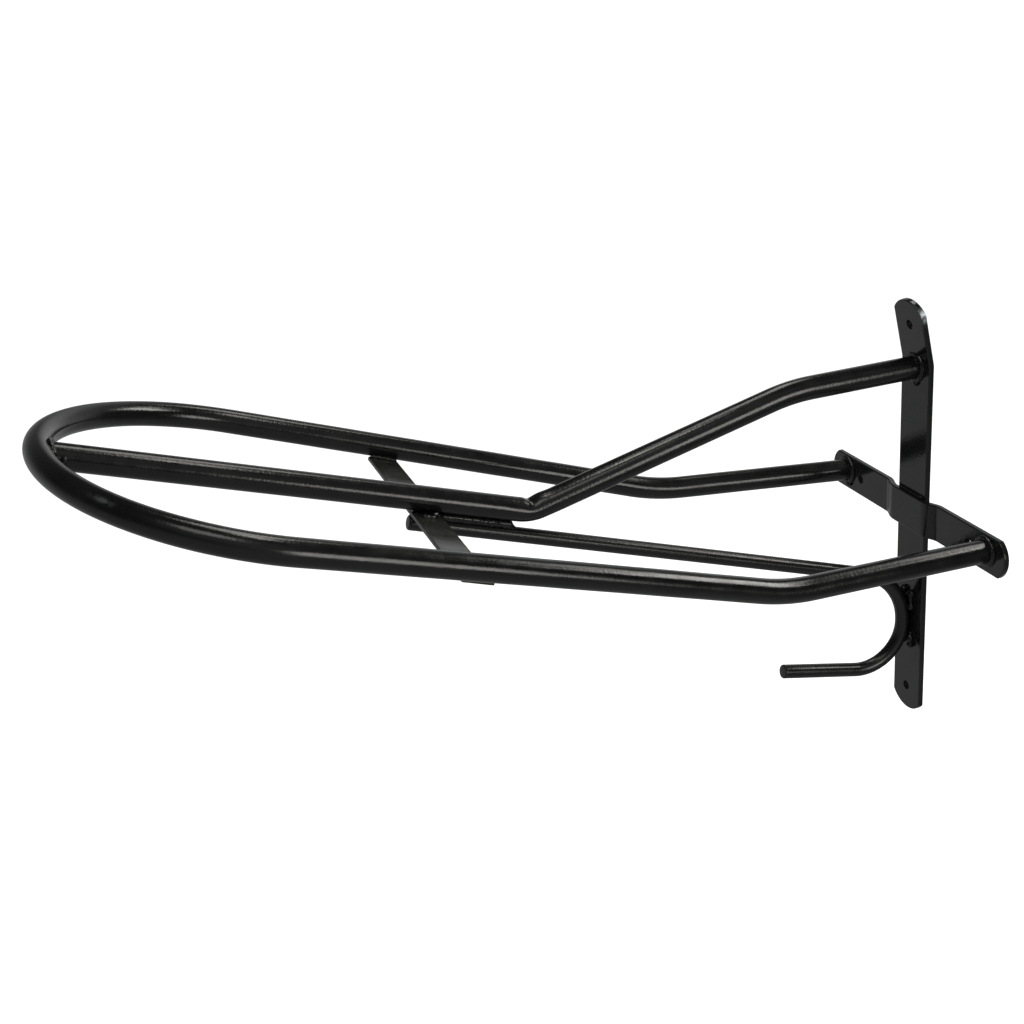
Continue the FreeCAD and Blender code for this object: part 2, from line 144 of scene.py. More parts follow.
nose_radius = (LEG_BEND_HALF + NOSE_CENTRE_RUN * math.tan(LEG_TAPER)) * math.cos(LEG_TAPER)
nose_centre = on_seat(0, NOSE_CENTRE_RUN)
nose_tip = on_seat(0, NOSE_CENTRE_RUN + nose_radius)
nose_start = on_seat(
    nose_radius * math.cos(LEG_TAPER), NOSE_CENTRE_RUN - nose_radius * math.sin(LEG_TAPER)
)
leg_bend = on_seat(LEG_BEND_HALF, 0)


def loop_route():
    leg = bent_route([LEG_FOOT, leg_bend, nose_start], [LEG_BEND_RADIUS], LOOP_STEP)
    quarter = arc_points(nose_centre, nose_start, nose_tip, LOOP_STEP)
    half = np.array(list(leg) + quarter)
    return np.concatenate([half, mirror_x(half[-2::-1])])


RAIL_FOOT_SUNK = 0.3  # how far the rail's end is let into the strap


def rail_route():
    nose = nose_tip - Z_AXIS * RAIL_NOSE_DROP + Y_AXIS * TUBE_RADIUS / 2
    foot = np.array([0.0, -STRAP_THICKNESS + RAIL_FOOT_SUNK, RAIL_HEIGHT])
    rear = np.array([0.0, -RAIL_REAR_REACH, RAIL_HEIGHT])
    radii = [RAIL_REAR_RADIUS, RAIL_SAG_RADIUS]
    return bent_route([foot, rear, RAIL_SAG, nose], radii, ROUTE_STEP)


# The round bar runs from under the flat bar down to the strap, along it, and out as the hook.
ROD_GAP = 0.15  # between the flat bar and the round bar
rod_drop = -TUBE_RADIUS - BAR_THICKNESS - ROD_RADIUS - ROD_GAP
strap_line = -STRAP_THICKNESS - ROD_RADIUS
rod_corner = np.array([0.0, strap_line, ROD_CORNER_HEIGHT])
rod_rise = unit(on_seat(0, BAR_RUN, rod_drop) - rod_corner)
hook_corner = np.array([0.0, strap_line, HOOK_CORNER_HEIGHT])
hook_rise = np.array([0.0, -math.cos(HOOK_ANGLE), math.sin(HOOK_ANGLE)])


def at_reach(start, direction, reach):
    """The point of a line, from start along direction, that stands out reach from the wall."""
    return start + direction * ((-reach - start[1]) / direction[1])


def rod_route():
    front = at_reach(rod_corner, rod_rise, ROD_FRONT_REACH)
    tip = at_reach(hook_corner, hook_rise, HOOK_REACH)
    radii = [ROD_CORNER_RADIUS, HOOK_RADIUS]
    return bent_route([front, rod_corner, hook_corner, tip], radii, ROUTE_STEP)


# ------------------------------------------------------------------ paint


def add_node(tree, kind, place, **inputs):
    node = tree.nodes.new(kind)
    node.location = place
    for name, value in inputs.items():
        node.inputs[name.replace("_", " ")].default_value = value
    return node


def ramp(tree, source, place, stops):
    """A colour ramp fed by source, whose stops are (position, grey or colour)."""
    node = add_node(tree, "ShaderNodeValToRGB", place)
    elements = node.color_ramp.elements
    while len(elements) < len(stops):
        elements.new(0.5)
    for element, (position, value) in zip(elements, stops):
        colour = value if isinstance(value, tuple) else (value, value, value)
        element.position = position
        element.color = (*colour, 1.0)
    tree.links.new(source, node.inputs["Fac"])
    return node.outputs["Color"]


def add_attribute(tree, name, place):
    node = add_node(tree, "ShaderNodeAttribute", place)
    node.attribute_name = name
    return node.outputs["Fac"]


# Light grey mixed into the paint: a painted glint on the wall strap's top corner, and a painted
# highlight where the loop is scuffed.
WEAR_AND_GLINT_COLOUR = (0.38, 0.42, 0.43, 1.0)
LIGHTEST_SHARE = 1.9  # the paint's cloudy light parts, against its darkest colour
GLOSS_LEVEL, BORE_SHADE_LEVEL = 0.5, 0.06  # inside the screw holes almost nothing is reflected, which paints shade into them


def paint_colour(tree, place, black):
    """Faintly cloudy black, with speckles of light grey where the mesh marks painted glints and a
    scuff's painted highlight.
    """
    link = tree.links.new
    cloud = add_node(tree, "ShaderNodeTexNoise", (-1150, 300), Scale=38.0, Detail=4.0)
    link(place, cloud.inputs["Vector"])
    lighter = tuple(channel * LIGHTEST_SHARE for channel in black)
    colour = ramp(tree, cloud.outputs["Fac"], (-900, 300), [(0.35, black), (0.75, lighter)])

    speckle_noise = add_node(tree, "ShaderNodeTexNoise", (-1150, 820), Scale=300.0, Detail=5.0)
    link(place, speckle_noise.inputs["Vector"])
    speckled = ramp(tree, speckle_noise.outputs["Fac"], (-1000, 900), [(0.34, 0.0), (0.56, 1.0)])
    wear_glint_mix = add_node(tree, "ShaderNodeMath", (-900, 700))
    wear_glint_mix.operation = "MULTIPLY"
    link(add_attribute(tree, "wear_and_glint", (-1150, 620)), wear_glint_mix.inputs[0])
    link(speckled, wear_glint_mix.inputs[1])
    mixed = add_node(tree, "ShaderNodeMix", (-500, 400))
    mixed.data_type = "RGBA"
    link(wear_glint_mix.outputs["Value"], mixed.inputs["Factor"])
    link(colour, mixed.inputs["A"])
    mixed.inputs["B"].default_value = WEAR_AND_GLINT_COLOUR
    return mixed.outputs["Result"]


def paint_gloss(tree, place, gloss):
    """Roughness that is smeared between its lowest and its highest."""
    smear = add_node(tree, "ShaderNodeTexNoise", (-1150, 0), Scale=90.0, Detail=6.0, Roughness=0.6)
    tree.links.new(place, smear.inputs["Vector"])
    low, high = gloss
    return ramp(tree, smear.outputs["Fac"], (-900, 0), [(0.3, low), (0.75, high)])


def bore_shade_level(tree):
    """How strongly a bored plate's paint reflects: less inside the screw holes, as painted shade.
    """
    bore_shade = add_attribute(tree, "bore_shade", (-500, 150))
    level = add_node(
        tree, "ShaderNodeMapRange", (-250, 150), To_Min=GLOSS_LEVEL, To_Max=BORE_SHADE_LEVEL
    )
    tree.links.new(bore_shade, level.inputs["Value"])
    return level.outputs["Result"]


def paint_skin(tree, place, peel, dust):
    """Orange peel, with fine grit in it."""
    link = tree.links.new
    skin = add_node(tree, "ShaderNodeTexNoise", (-1150, -300), Scale=560.0, Detail=2.5)
    link(place, skin.inputs["Vector"])
    grit = add_node(tree, "ShaderNodeTexVoronoi", (-1150, -600), Scale=520.0)
    link(place, grit.inputs["Vector"])
    specks = ramp(tree, grit.outputs["Distance"], (-900, -600), [(0.0, 1.0), (0.16, 0.0)])
    slow = add_node(tree, "ShaderNodeBump", (-500, -250), Strength=1.0, Distance=peel * MM)
    link(skin.outputs["Fac"], slow.inputs["Height"])
    fine = add_node(tree, "ShaderNodeBump", (-250, -400), Strength=dust, Distance=0.05 * MM)
    link(specks, fine.inputs["Height"])
    link(slow.outputs["Normal"], fine.inputs["Normal"])
    return fine.outputs["Normal"]


def make_paint(name, black, gloss, peel, dust, bored=False):
    """Gloss black paint over steel.

    black is its darkest colour, gloss its lowest and highest roughness, peel the depth of its
    orange peel in millimetres, and dust how much fine grit lies in it. bored is for plates
    with screw holes.
    """
    material = bpy.data.materials.new(name)
    material.use_nodes = True
    tree = material.node_tree
    shader = tree.nodes["Principled BSDF"]
    shader.inputs["IOR"].default_value = 1.5
    shader.inputs["Specular IOR Level"].default_value = GLOSS_LEVEL
    place = add_node(tree, "ShaderNodeTexCoord", (-1400, 0)).outputs["Object"]
    tree.links.new(paint_colour(tree, place, black), shader.inputs["Base Color"])
    tree.links.new(paint_gloss(tree, place, gloss), shader.inputs["Roughness"])
    tree.links.new(paint_skin(tree, place, peel, dust), shader.inputs["Normal"])
    if bored:
        tree.links.new(bore_shade_level(tree), shader.inputs["Specular IOR Level"])
    return material


tube_paint = make_paint("tube_gloss_black", (0.0020, 0.0023, 0.0021), (0.14, 0.26), 0.07, 0.4)
rod_paint = make_paint("rod_gloss_black", (0.0020, 0.0023, 0.0021), (0.20, 0.32), 0.06, 0.4)
# The flat bar's black is lighter and warmer than the rest of the paint: painted light, for the
# brightness its upward faces catch.
lit_bar_paint = make_paint("bar_gloss_black_lit", (0.0085, 0.0085, 0.0076), (0.12, 0.22), 0.05, 0.3)
flat_paint = make_paint(
    "flat_gloss_black", (0.0024, 0.0028, 0.0025), (0.09, 0.18), 0.05, 0.3, bored=True
)
weld_paint = make_paint("weld_gloss_black", (0.0018, 0.0020, 0.0019), (0.10, 0.22), 0.08, 0.5)

# ------------------------------------------------------------------ mesh tools


def finish_piece(name, mesh, material, node):
    """Put a mesh on the rack as the piece that stands for one CAD node."""
    mesh.polygons.foreach_set("use_smooth", [True] * len(mesh.polygons))
    mesh.materials.append(material)
    piece = bpy.data.objects.new(name, mesh)
    scene.collection.objects.link(piece)
    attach(piece, "root")
    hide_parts(node)
    return piece


def add_piece(name, points, faces, material, node, wear_and_glint=None):
    """A piece made from points in millimetres; the last argument says how far each point is
    painted light grey, as a scuff with a painted highlight.
    """
    mesh = bpy.data.meshes.new(name)
    mesh.from_pydata((np.asarray(points) * MM).tolist(), [], faces)
    if wear_and_glint is not None:
        mesh.attributes.new("wear_and_glint", "FLOAT", "POINT").data.foreach_set("value", wear_and_glint)
    finish_piece(name, mesh, material, node)


def ring_faces(rings, sides):
    """Quads between rings of points that follow one another."""
    faces = []
    for ring in range(rings - 1):
        low = ring * sides
        high = low + sides
        for side in range(sides):
            following = (side + 1) % sides
            faces.append((low + side, low + following, high + following, high + side))
    return faces


def route_lengths(route):
    """How far along a route each of its points is."""
    return np.concatenate([[0.0], np.cumsum(np.linalg.norm(np.diff(route, axis=0), axis=1))])


def sweep(route, radius, reference, sides, relief=None, rounding=(0.0, 0.0)):
    """Points and faces of a round bar along route.

    Angles round the bar start at reference. relief(length, angle) adds to the radius, and
    rounding gives how far each end is rounded over.
    """
    tangents = np.gradient(route, axis=0)
    tangents /= np.linalg.norm(tangents, axis=1)[:, None]
    # Each station is its place, the way along, its length along, and how much it is shrunk.
    stations = [station + (0.0,) for station in zip(route, tangents, route_lengths(route))]
    for end, round_by in zip((0, -1), rounding):
        if round_by <= 0:
            continue
        position, tangent, length, _ = stations[end]
        inward = tangent if end == 0 else -tangent
        rounded = []
        for turn in np.linspace(0, math.pi / 2, 7):
            inset = inward * round_by * (1 - math.sin(turn))
            rounded.append((position + inset, tangent, length, round_by * (1 - math.cos(turn))))
        kept = [each for each in stations if np.linalg.norm(each[0] - position) > round_by]
        stations = rounded[::-1] + kept if end == 0 else kept + rounded

    angles = np.arange(sides) * math.tau / sides
    cosines, sines = np.cos(angles)[:, None], np.sin(angles)[:, None]
    rings = []
    for position, tangent, length, shrink in stations:
        first = unit(reference - tangent * (reference @ tangent))
        second = np.cross(tangent, first)
        reach = np.full(sides, radius - shrink)
        if relief is not None:
            reach = reach + relief(length, angles)
        rings.append(position + reach[:, None] * (cosines * first + sines * second))
    points = np.concatenate(rings)
    faces = ring_faces(len(stations), sides)

    # Each end is closed by a fan round its own middle point.
    count = len(points)
    points = np.concatenate([points, [stations[0][0], stations[-1][0]]])
    for side in range(sides):
        following = (side + 1) % sides
        faces.append((count, following, side))
        faces.append((count + 1, count - sides + side, count - sides + following))
    return points, faces


# ------------------------------------------------------------------ tubes and round bar


def angle_gap(angles, centre):
    """The difference of angles from centre, between -pi and pi."""
    return (angles - centre + math.pi) % math.tau - math.pi


def dome(distance, width):
    """A smooth bump that is 1 at no distance and has mostly gone at width."""
    return np.exp(-(distance / width) ** 2)


loop_path = loop_route()
loop_lengths = route_lengths(loop_path)
LOOP_WAVE = 0.03
# A shallow press mark on the outer top of the right side of the nose, scuffed and with a painted
# highlight along it.
DENT_PLACE = loop_lengths[-1] / 2 - 88.5
DENT_ANGLE = math.radians(-50)
DENT_DEPTH, DENT_LENGTH, DENT_SPREAD = 0.6, 6.5, 0.34
SCUFF_HIGHLIGHT, SCUFF_WIDTH = 0.10, 1.3


def loop_relief(length, angles):
    """Slight unevenness from the bending, and one shallow dent."""
    waves = LOOP_WAVE * np.sin(length / 9.0) * np.cos(2 * angles)
    along = dome(length - DENT_PLACE, DENT_LENGTH)
    return waves - DENT_DEPTH * along * dome(angle_gap(angles, DENT_ANGLE), DENT_SPREAD)


def scuff_highlight(points):
    """How far each point of the loop's skin is painted light grey along the long, thin press mark:
    a scuff with a painted highlight.
    """
    index = int(np.argmin(np.abs(loop_lengths - DENT_PLACE)))
    tangent = unit(loop_path[index + 1] - loop_path[index - 1])
    first = unit(SEAT_NORMAL - tangent * (SEAT_NORMAL @ tangent))
    second = np.cross(tangent, first)
    spoke = math.cos(DENT_ANGLE) * first + math.sin(DENT_ANGLE) * second
    gaps = points - loop_path[index] - TUBE_RADIUS * spoke
    along = gaps @ tangent
    across = np.linalg.norm(gaps - along[:, None] * tangent, axis=1)
    return SCUFF_HIGHLIGHT * dome(along, DENT_LENGTH) * dome(across, SCUFF_WIDTH)


def build_loop():
    radius = TUBE_RADIUS - LOOP_WAVE
    points, faces = sweep(loop_path, radius, SEAT_NORMAL, TUBE_SIDES, loop_relief)
    # The press mark is scuffed, and painted light grey as its highlight.
    wear_and_glint = scuff_highlight(points)
    add_piece("seat_loop_tube", points, faces, tube_paint, "seat_loop", wear_and_glint)


rail_path = rail_route()
sag_index = np.argmin(np.linalg.norm(rail_path - RAIL_SAG, axis=1))
rail_kink = float(route_lengths(rail_path)[sag_index])


def rail_relief(length, angles):
    """The tight bend is pinched on its inner, upper side and puckers to each side of it.

    Depths are in millimetres. Distances along are from the bend, positive towards the nose.
    """
    along = length - rail_kink
    upper = dome(angle_gap(angles, math.pi / 2), 0.75)
    lower = dome(angle_gap(angles, -math.pi / 2), 0.8)
    flanks = dome(angle_gap(angles, 0), 0.5) + dome(angle_gap(angles, math.pi), 0.5)
    pinch = -1.4 * dome(along, 3.2) * upper
    puckers = (0.6 * dome(along + 9.5, 4.6) + 0.12 * dome(along - 6.0, 1.6)) * upper
    creases = 0.09 * (dome(along - 10.5, 1.2) + dome(along - 13.5, 1.2)) * flanks
    flattening = -0.5 * dome(along, 12.0) * lower + 0.4 * dome(along, 12.0) * flanks
    return pinch + puckers + creases + flattening


def build_rail():
    points, faces = sweep(rail_path, TUBE_RADIUS, X_AXIS, TUBE_SIDES, rail_relief)
    add_piece("centre_rail_tube", points, faces, tube_paint, "centre_rail")


ROD_END_ROUNDING = (1.6, 0.9)  # of its end under the rail and of the hook's tip


def build_rod():
    points, faces = sweep(rod_route(), ROD_RADIUS, X_AXIS, ROD_SIDES, None, ROD_END_ROUNDING)
    add_piece("hook_rod_bar", points, faces, rod_paint, "hook_rod")


# ------------------------------------------------------------------ flat bars


STRAP_SHOULDER, BAR_CORNER = 1.2, 1.5  # how far the corners of the outlines are eased
STRAP_EDGE, BAR_EDGE = 0.8, 0.45  # radius of the rounded edges


def strap_outline(width, low, high, end_radius):
    """Outline of a strap with two shallow arcs for ends and slightly eased shoulders.

    It runs along the second coordinate and goes round anticlockwise.
    """
    half = width / 2
    half_angle = math.asin(half / end_radius)
    outline = []
    for centre, sign in ((high - end_radius, 1), (low + end_radius, -1)):
        for turn in np.linspace(-half_angle, half_angle, 41):
            across = -sign * end_radius * math.sin(turn)
            outline.append((across, centre + sign * end_radius * math.cos(turn)))
    return ease_corners(np.array(outline), STRAP_SHOULDER)


def ease_corners(outline, radius):
    """Round over the corners of an outline that turn by more than 20 degrees."""
    eased = []
    count = len(outline)
    for i, corner in enumerate(outline):
        before, after = outline[i - 1] - corner, outline[(i + 1) % count] - corner
        turn = math.pi - math.acos(float(np.clip(unit(before) @ unit(after), -1, 1)))
        if turn < math.radians(20):
            eased.append(corner)
            continue
        # Less than half of each side, so that two eased corners never meet.
        shortest = min(np.linalg.norm(before), np.linalg.norm(after)) / 2.2
        reach = min(radius * math.tan(turn / 2), shortest)
        start, end = corner + unit(before) * reach, corner + unit(after) * reach
        for t in np.linspace(0, 1, 7):
            eased.append((1 - t) ** 2 * start + 2 * t * (1 - t) * corner + t ** 2 * end)
    return np.array(eased)


def inset_outline(outline, distance):
    """Move an anticlockwise outline inward by distance."""
    ahead = np.roll(outline, -1, axis=0) - outline
    ahead /= np.linalg.norm(ahead, axis=1)[:, None]
    back = np.roll(ahead, 1, axis=0)
    normal = np.stack([-(ahead + back)[:, 1], (ahead + back)[:, 0]], axis=1)
    normal /= np.linalg.norm(normal, axis=1)[:, None]
    side = np.stack([-ahead[:, 1], ahead[:, 0]], axis=1)
    stretch = np.clip((normal * side).sum(axis=1), 0.5, 1.0)
    return outline + normal * (distance / stretch)[:, None]


def split_long_sides(outline, step):
    """Add points so that no side is longer than step."""
    result = []
    for start, end in zip(outline, np.roll(outline, -1, axis=0)):
        count = max(1, math.ceil(np.linalg.norm(end - start) / step))
        result += [start + (end - start) * i / count for i in range(count)]
    return np.array(result)


LONGEST_SIDE = 3.0  # of the outline, so that a bent edge stays smooth
HOLE_TRIM, HOLE_FLARE = 0.2, 0.5  # paint narrows a hole, and its rim flares with the edge
# How far a plate's painted glint spreads round its spot along the rounded edge.
GLINT_REACH = 3.2


def hole_contour(across, along, radius):
    """A hole's rim, as a function of how far the plate's edge is inset at that depth."""
    centre = np.array([across, along])
    angles = np.linspace(0, math.tau, HOLE_SIDES, endpoint=False)
    circle = np.stack([np.cos(angles), np.sin(angles)], axis=1)
    return lambda inset: centre + (radius - HOLE_TRIM + HOLE_FLARE * inset) * circle


def edge_profile(thickness, edge):
    """Inset and depth down a rounded edge, from the front face to the back."""
    turns = np.linspace(0, math.pi / 2, 6)
    front = [(edge * (1 - math.sin(t)), edge * (1 - math.cos(t))) for t in turns]
    return front + [(inset, thickness - depth) for inset, depth in reversed(front)]


def build_plate(name, outline, holes, thickness, edge, place, cuts, paint, node, glint_spot=None):
    """A flat bar with rounded edges, bored and then bent.

    outline is anticlockwise, holes are (across, along, radius), and place(across, along, depth)
    bends the flat blank into the frame. cuts are the places along it where it may bend, and the
    last argument is a point of the blank near which the rounded edge gets a painted glint of light
    grey.
    """
    outline = split_long_sides(outline, LONGEST_SIDE)
    profile = edge_profile(thickness, edge)
    last = len(profile) - 1
    blank = bmesh.new()
    wear_and_glint_layer = blank.verts.layers.float.new("wear_and_glint")
    bore_shade_layer = blank.verts.layers.float.new("bore_shade")
    front_edges, back_edges = [], []
    contours = [lambda inset: inset_outline(outline, inset)]
    contours += [hole_contour(*hole) for hole in holes]
    for number, contour in enumerate(contours):
        rings = []
        for level, (inset, depth) in enumerate(profile):
            ring = [blank.verts.new((x, y, depth)) for x, y in contour(inset)]
            rounded = 0 < level < last
            for vertex in ring:
                # Rounded edges near the spot are painted light grey as a glint.
                gap = (vertex.co.xy - Vector(glint_spot)).length if glint_spot else math.inf
                vertex[wear_and_glint_layer] = float(dome(gap, GLINT_REACH)) if rounded else 0.0
                # The holes' rounded rims are marked for painted shade.
                vertex[bore_shade_layer] = float(number > 0 and rounded)
            rings.append(ring)
        for low, high in zip(rings, rings[1:]):
            for i in range(len(low)):
                j = (i + 1) % len(low)
                blank.faces.new((low[i], low[j], high[j], high[i]))
        for ring, edges in ((rings[0], front_edges), (rings[-1], back_edges)):
            for i in range(len(ring)):
                edges.append(blank.edges.get((ring[i], ring[(i + 1) % len(ring)])))
    for edges in (front_edges, back_edges):
        bmesh.ops.triangle_fill(blank, use_beauty=True, use_dissolve=False, edges=edges)
    for cut in cuts:
        geometry = blank.verts[:] + blank.edges[:] + blank.faces[:]
        bmesh.ops.bisect_plane(
            blank, geom=geometry, dist=0.001, plane_co=(0, cut, 0), plane_no=(0, 1, 0)
        )
    bmesh.ops.recalc_face_normals(blank, faces=blank.faces[:])
    for vertex in blank.verts:
        vertex.co = Vector(place(*vertex.co)) * MM
    if blank.calc_volume(signed=True) < 0:
        bmesh.ops.reverse_faces(blank, faces=blank.faces[:])
    mesh = bpy.data.meshes.new(name)
    blank.to_mesh(mesh)
    blank.free()
    piece = finish_piece(name, mesh, paint, node)
    # The large flat faces set the shading, so that they look flat next to their edges.
    even = piece.modifiers.new("even_shading", "WEIGHTED_NORMAL")
    even.weight = 90


WALL_BEND_RADIUS = 16.0
WALL_BEND_MARGIN = 4.0  # the stretch to each side of the bend that is cut finely
GLINT_DROP = 8.0  # from the top of the strap down to its shoulder with the painted glint


def place_on_wall_strap(across, along, depth):
    """Bend the vertical strap out from the wall above its bend; depth is from its front."""
    behind = STRAP_THICKNESS - depth
    reach = WALL_BEND_RADIUS * math.tan(WALL_STRAP_LEAN / 2)
    start = WALL_STRAP_BEND - reach
    turn = min(max((along - start) / WALL_BEND_RADIUS, 0.0), WALL_STRAP_LEAN)
    past = max(along - start - WALL_BEND_RADIUS * WALL_STRAP_LEAN, 0.0)
    y = -WALL_BEND_RADIUS * (1 - math.cos(turn)) - past * math.sin(turn)
    z = min(along, start) + WALL_BEND_RADIUS * math.sin(turn) + past * math.cos(turn)
    return across, y - behind * math.cos(turn), z - behind * math.sin(turn)


def build_wall_strap():
    top = WALL_STRAP_BEND + WALL_STRAP_TAB
    outline = strap_outline(WALL_STRAP_WIDTH, WALL_STRAP_BOTTOM, top, WALL_STRAP_END_RADIUS)
    rise = WALL_HOLE_HEIGHT - WALL_STRAP_BEND + STRAP_THICKNESS / 2 * math.sin(WALL_STRAP_LEAN)
    upper_hole = WALL_STRAP_BEND + rise / math.cos(WALL_STRAP_LEAN)
    holes = [(0, upper_hole, HOLE_RADIUS), (0, -WALL_HOLE_HEIGHT, HOLE_RADIUS)]
    cuts = np.linspace(WALL_STRAP_BEND - WALL_BEND_MARGIN, WALL_STRAP_BEND + WALL_BEND_MARGIN, 15)
    # The top shoulder on the +x side gets a painted glint.
    build_plate(
        "wall_strap_plate", outline, holes, STRAP_THICKNESS, STRAP_EDGE, place_on_wall_strap,
        cuts, flat_paint, "wall_strap", (WALL_STRAP_WIDTH / 2, top - GLINT_DROP),
    )


# Each joggle of the cross strap, measured from its middle.
CROSS_STEP_TOP, CROSS_STEP_FOOT = 16.5, 31.0
CROSS_STEP_MARGIN = 0.5


def place_on_cross_strap(level, along, depth):
    """Joggle the cross strap forward over the vertical one; along becomes -x."""
    share = (abs(along) - CROSS_STEP_TOP) / (CROSS_STEP_FOOT - CROSS_STEP_TOP)
    share = min(max(share, 0.0), 1.0)
    forward = STRAP_THICKNESS * (1 + math.cos(math.pi * share)) / 2
    slope = 0.0
    if 0 < share < 1:
        slope = STRAP_THICKNESS * math.pi / 2 * math.sin(math.pi * share)
        slope /= CROSS_STEP_FOOT - CROSS_STEP_TOP
    tilt = math.copysign(math.atan(slope), along)
    behind = STRAP_THICKNESS - depth
    x = along + behind * math.sin(tilt)
    y = -forward - behind * math.cos(tilt)
    return -x, y, CROSS_HEIGHT + level


def build_cross_strap():
    outline = strap_outline(CROSS_WIDTH, -CROSS_HALF, CROSS_HALF, CROSS_END_RADIUS)
    holes = [(0, CROSS_HOLE_HALF, HOLE_RADIUS), (0, -CROSS_HOLE_HALF, HOLE_RADIUS)]
    step = np.linspace(CROSS_STEP_TOP - CROSS_STEP_MARGIN, CROSS_STEP_FOOT + CROSS_STEP_MARGIN, 21)
    cuts = np.concatenate([-step[::-1], step])
    build_plate(
        "cross_strap_plate", outline, holes, STRAP_THICKNESS, STRAP_EDGE, place_on_cross_strap,
        cuts, flat_paint, "cross_strap",
    )


def place_on_bar(width, along, depth):
    """The bar lies flat under the tubes; its top is a tube's radius below the seat plane."""
    return on_seat(-along, BAR_RUN + width, -TUBE_RADIUS - depth)


def build_under_bar():
    half_size = np.array([BAR_WIDTH / 2, BAR_HALF])
    corners = half_size * np.array([(-1, -1), (1, -1), (1, 1), (-1, 1)])
    build_plate(
        "under_bar_plate", ease_corners(corners, BAR_CORNER), [], BAR_THICKNESS, BAR_EDGE,
        place_on_bar, [], lit_bar_paint, "under_bar",
    )


# ------------------------------------------------------------------ weld beads


WELD_VOXEL = 0.42  # the grain of the skin over the drops
DROP_STRETCH = 0.08  # how far from round a drop may be


def build_weld(name, blobs, node):
    """Weld metal as one skin over overlapping drops, given as (point, radius)."""
    drops = bmesh.new()
    for point, radius in blobs:
        spin = Matrix.Rotation(random.uniform(0, math.tau), 4, "Z")
        sides = [random.uniform(1 - DROP_STRETCH, 1 + DROP_STRETCH) for _ in range(3)]
        matrix = Matrix.Translation(Vector(point) * MM) @ spin @ Matrix.Diagonal(sides).to_4x4()
        bmesh.ops.create_icosphere(drops, subdivisions=3, radius=radius * MM, matrix=matrix)
    mesh = bpy.data.meshes.new(name)
    drops.to_mesh(mesh)
    drops.free()
    mould = bpy.data.objects.new(f"{name}_mould", mesh)
    scene.collection.objects.link(mould)
    skin = mould.modifiers.new("skin", "REMESH")
    skin.mode = "VOXEL"
    skin.voxel_size = WELD_VOXEL * MM
    flow = mould.modifiers.new("flow", "SMOOTH")
    flow.factor = 0.5
    flow.iterations = 3
    bpy.context.view_layer.update()
    evaluated = mould.evaluated_get(bpy.context.evaluated_depsgraph_get())
    bead = bpy.data.meshes.new_from_object(evaluated)
    bead.name = name
    bpy.data.objects.remove(mould)
    bpy.data.meshes.remove(mesh)
    finish_piece(name, bead, weld_paint, node)


def bead_along(points, radius, spacing=1.5, wander=0.25, uneven=0.11):
    """Drops of weld metal spaced along a line of points, uneven as a hand-laid bead is.

    wander is how far a drop may stray in millimetres, and uneven how much its size may vary.
    """
    points = np.asarray(points)
    lengths = route_lengths(points)
    blobs = []
    for length in np.arange(0.0, lengths[-1], spacing):
        place = np.array([np.interp(length, lengths, points[:, axis]) for axis in range(3)])
        place = place + np.array([random.uniform(-wander, wander) for _ in range(3)])
        blobs.append((place, radius * random.uniform(1 - uneven, 1 + uneven)))
    return blobs


def ring_points(centre, axis, radius):
    """A closed ring of points round an axis."""
    side = unit(np.cross(axis, Z_AXIS if abs(axis[2]) < 0.9 else X_AXIS))
    other = np.cross(axis, side)
    angles = np.linspace(0, math.tau, 73)[:, None]
    return centre + radius * (np.cos(angles) * side + np.sin(angles) * other)


RING_BEAD_RADIUS, RING_BEAD_SPACING = 2.2, 0.9
RING_BEAD_OUT, RING_BEAD_PROUD = 0.55, 0.35  # its middle, from the tube and from the strap


def build_ring_weld(name, foot, axis, node, lump, lump_radius):
    """A fillet bead round a tube's foot on the face of a strap, with one lump of extra metal."""
    ring = ring_points(foot, axis, TUBE_RADIUS + RING_BEAD_OUT)
    ring[:, 1] = -STRAP_THICKNESS - RING_BEAD_PROUD
    blobs = bead_along(ring, RING_BEAD_RADIUS, RING_BEAD_SPACING, 0.05, 0.03)
    build_weld(name, blobs + [(foot + np.array(lump), lump_radius)], node)


def build_ring_welds():
    leg_line = unit(LEG_FOOT - leg_bend)
    rail_foot = np.array([0.0, -STRAP_THICKNESS, RAIL_HEIGHT])
    for name, foot, axis, node, lump, lump_radius in (
        ("right_leg_bead", LEG_FOOT, leg_line, "right_leg_weld", (-4.5, -0.6, -9.2), 2.6),
        ("left_leg_bead", mirror_x(LEG_FOOT), mirror_x(leg_line), "left_leg_weld",
         (3.5, -0.6, -9.6), 2.6),
        ("centre_rail_wall_bead", rail_foot, -Y_AXIS, "centre_rail_wall_weld",
         (1.5, -0.5, -10.4), 2.5),
    ):
        build_ring_weld(name, foot, axis, node, lump, lump_radius)


def distance_to_route(point, route):
    return float(np.linalg.norm(route - point, axis=1).min())


NOSE_BEAD_RADIUS, NOSE_BEAD_OUT = 1.75, 0.35


